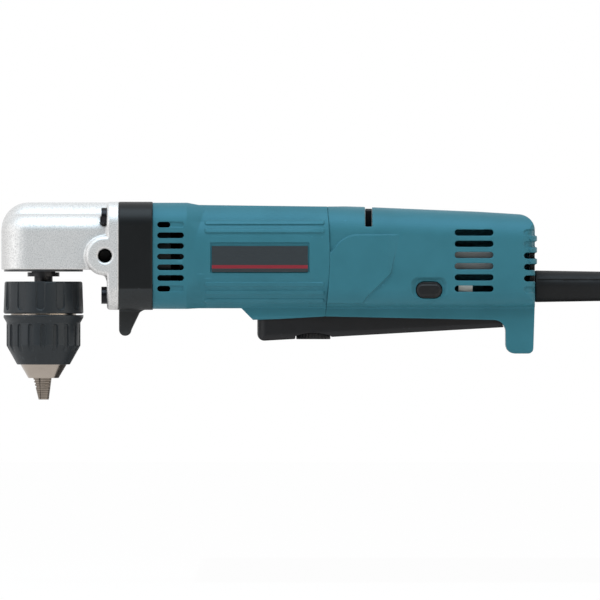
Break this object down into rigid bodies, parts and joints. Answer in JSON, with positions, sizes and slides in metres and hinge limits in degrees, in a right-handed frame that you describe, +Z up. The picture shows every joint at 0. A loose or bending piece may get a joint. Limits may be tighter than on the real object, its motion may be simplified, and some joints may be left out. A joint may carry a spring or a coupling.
{
  "type": "right angle drill",
  "caption": "Corded right angle drill with a compact angle head, a keyless chuck, a straight motor body and a paddle switch under the rear grip.",
  "frame": {"origin": "tip of the closed chuck jaws, on the spindle axis", "axes": "+Z up along the spindle axis towards the angle head, +X along the motor towards the cord, Y = 0 the plane of symmetry of the housings"},
  "size_m": [0.3417, 0.054, 0.0988],
  "materials": {
    "cast_aluminium": "fine blasted casting",
    "black_coating": "satin black",
    "tool_steel": "turned and ground",
    "dark_steel": "oil blackened",
    "bearing_steel": "ground",
    "bearing_bronze": "sintered",
    "housing_plastic": "fine moulded grain",
    "black_plastic": "fine moulded grain",
    "sleeve_plastic": "satin",
    "pale_plastic": "satin",
    "grey_case": "satin",
    "black_rubber": "matt",
    "plate_metal": "satin dark grey with a red stripe",
    "lamination": "stacked sheet",
    "copper": "enamelled wire and copper",
    "carbon": "pressed carbon"
  },
  "bodies": {
    "tool_body": {"gear_housing": "cast_aluminium", "head_screws": "black_coating", "bearing_retainer": "black_coating", "spindle_bearing": "bearing_steel", "spindle_bush": "bearing_bronze", "pinion_bearing": "bearing_steel", "pinion_bush": "bearing_bronze", "gear_case_collar": "black_plastic", "bearing_plate": "cast_aluminium", "armature_front_bearing": "bearing_steel", "armature_rear_bearing": "bearing_steel", "fan_baffle": "black_plastic", "field_stack": "lamination", "field_coils": "copper", "brush_holders": "bearing_bronze", "carbon_brushes": "carbon", "motor_housing": "housing_plastic", "nameplate": "plate_metal", "handle_left": "housing_plastic", "handle_right": "housing_plastic", "handle_screws": "black_coating", "switch_body": "black_plastic", "noise_suppressor": "grey_case", "terminal_block": "pale_plastic", "paddle_pin": "tool_steel", "cord_guard": "black_rubber", "cord_clamp": "black_plastic"},
    "spindle_and_chuck": {"spindle": "dark_steel", "bevel_gear": "dark_steel", "chuck_body": "tool_steel", "chuck_rear_sleeve": "sleeve_plastic", "chuck_screw": "dark_steel"},
    "front_sleeve": {"chuck_front_sleeve": "sleeve_plastic", "chuck_nut": "dark_steel"},
    "chuck_jaw_1": {"jaw_1": "tool_steel"},
    "chuck_jaw_2": {"jaw_2": "tool_steel"},
    "chuck_jaw_3": {"jaw_3": "tool_steel"},
    "pinion_shaft": {"bevel_pinion": "dark_steel", "spur_gear": "dark_steel"},
    "armature": {"armature_shaft": "dark_steel", "armature_core": "lamination", "armature_windings": "copper", "commutator": "copper", "fan": "black_plastic"},
    "switch_paddle": {"paddle": "black_plastic"},
    "dial": {"speed_dial": "black_plastic"},
    "lock": {"lock_button": "black_plastic"},
    "reverse": {"reversing_lever": "black_plastic"}
  },
  "joints": [
    {"name": "armature_spin", "type": "hinge", "parent": "tool_body", "child": "armature", "pos_m": [0.095, 0, 0.0718], "axis": [1, 0, 0], "continuous": true},
    {"name": "pinion_spin", "type": "hinge", "parent": "tool_body", "child": "pinion_shaft", "pos_m": [0.035, 0, 0.08493], "axis": [1, 0, 0], "continuous": true},
    {"name": "spindle_spin", "type": "hinge", "parent": "tool_body", "child": "spindle_and_chuck", "pos_m": [0, 0, 0.07], "axis": [0, 0, 1], "continuous": true},
    {"name": "sleeve_turn", "type": "hinge", "parent": "spindle_and_chuck", "child": "front_sleeve", "pos_m": [0, 0, 0.03], "axis": [0, 0, -1], "range_deg": [0, 3600]},
    {"name": "jaw_1_slide", "type": "slide", "parent": "spindle_and_chuck", "child": "chuck_jaw_1", "axis": [-0.2419, 0, 0.9703], "range_m": [0, 0.01757]},
    {"name": "jaw_2_slide", "type": "slide", "parent": "spindle_and_chuck", "child": "chuck_jaw_2", "axis": [0.121, -0.2095, 0.9703], "range_m": [0, 0.01757]},
    {"name": "jaw_3_slide", "type": "slide", "parent": "spindle_and_chuck", "child": "chuck_jaw_3", "axis": [0.121, 0.2095, 0.9703], "range_m": [0, 0.01757]},
    {"name": "paddle_squeeze", "type": "hinge", "parent": "tool_body", "child": "switch_paddle", "pos_m": [0.222, 0, 0.04405], "axis": [0, 1, 0], "range_deg": [0, 2.5], "stiffness_Nm_per_rad": 2, "springref_deg": -1.15},
    {"name": "dial_turn", "type": "hinge", "parent": "switch_paddle", "child": "dial", "pos_m": [0.1349, 0, 0.032], "axis": [0, 0, 1], "range_deg": [0, 300]},
    {"name": "lock_press", "type": "slide", "parent": "tool_body", "child": "lock", "axis": [0, 1, 0], "range_m": [0, 0.003], "stiffness_N_per_m": 200, "springref_m": -0.002},
    {"name": "reverse_swing", "type": "hinge", "parent": "tool_body", "child": "reverse", "pos_m": [0.1625, 0, 0.076], "axis": [1, 0, 0], "range_deg": [-12, 12]}
  ],
  "couplings": [
    {"joint": "pinion_spin", "follows": "armature_spin", "ratio": -0.34615},
    {"joint": "spindle_spin", "follows": "armature_spin", "ratio": -0.097356},
    {"joint": "jaw_1_slide", "follows": "sleeve_turn", "m_per_rad": 0.0002796},
    {"joint": "jaw_2_slide", "follows": "sleeve_turn", "m_per_rad": 0.0002796},
    {"joint": "jaw_3_slide", "follows": "sleeve_turn", "m_per_rad": 0.0002796}
  ]
}
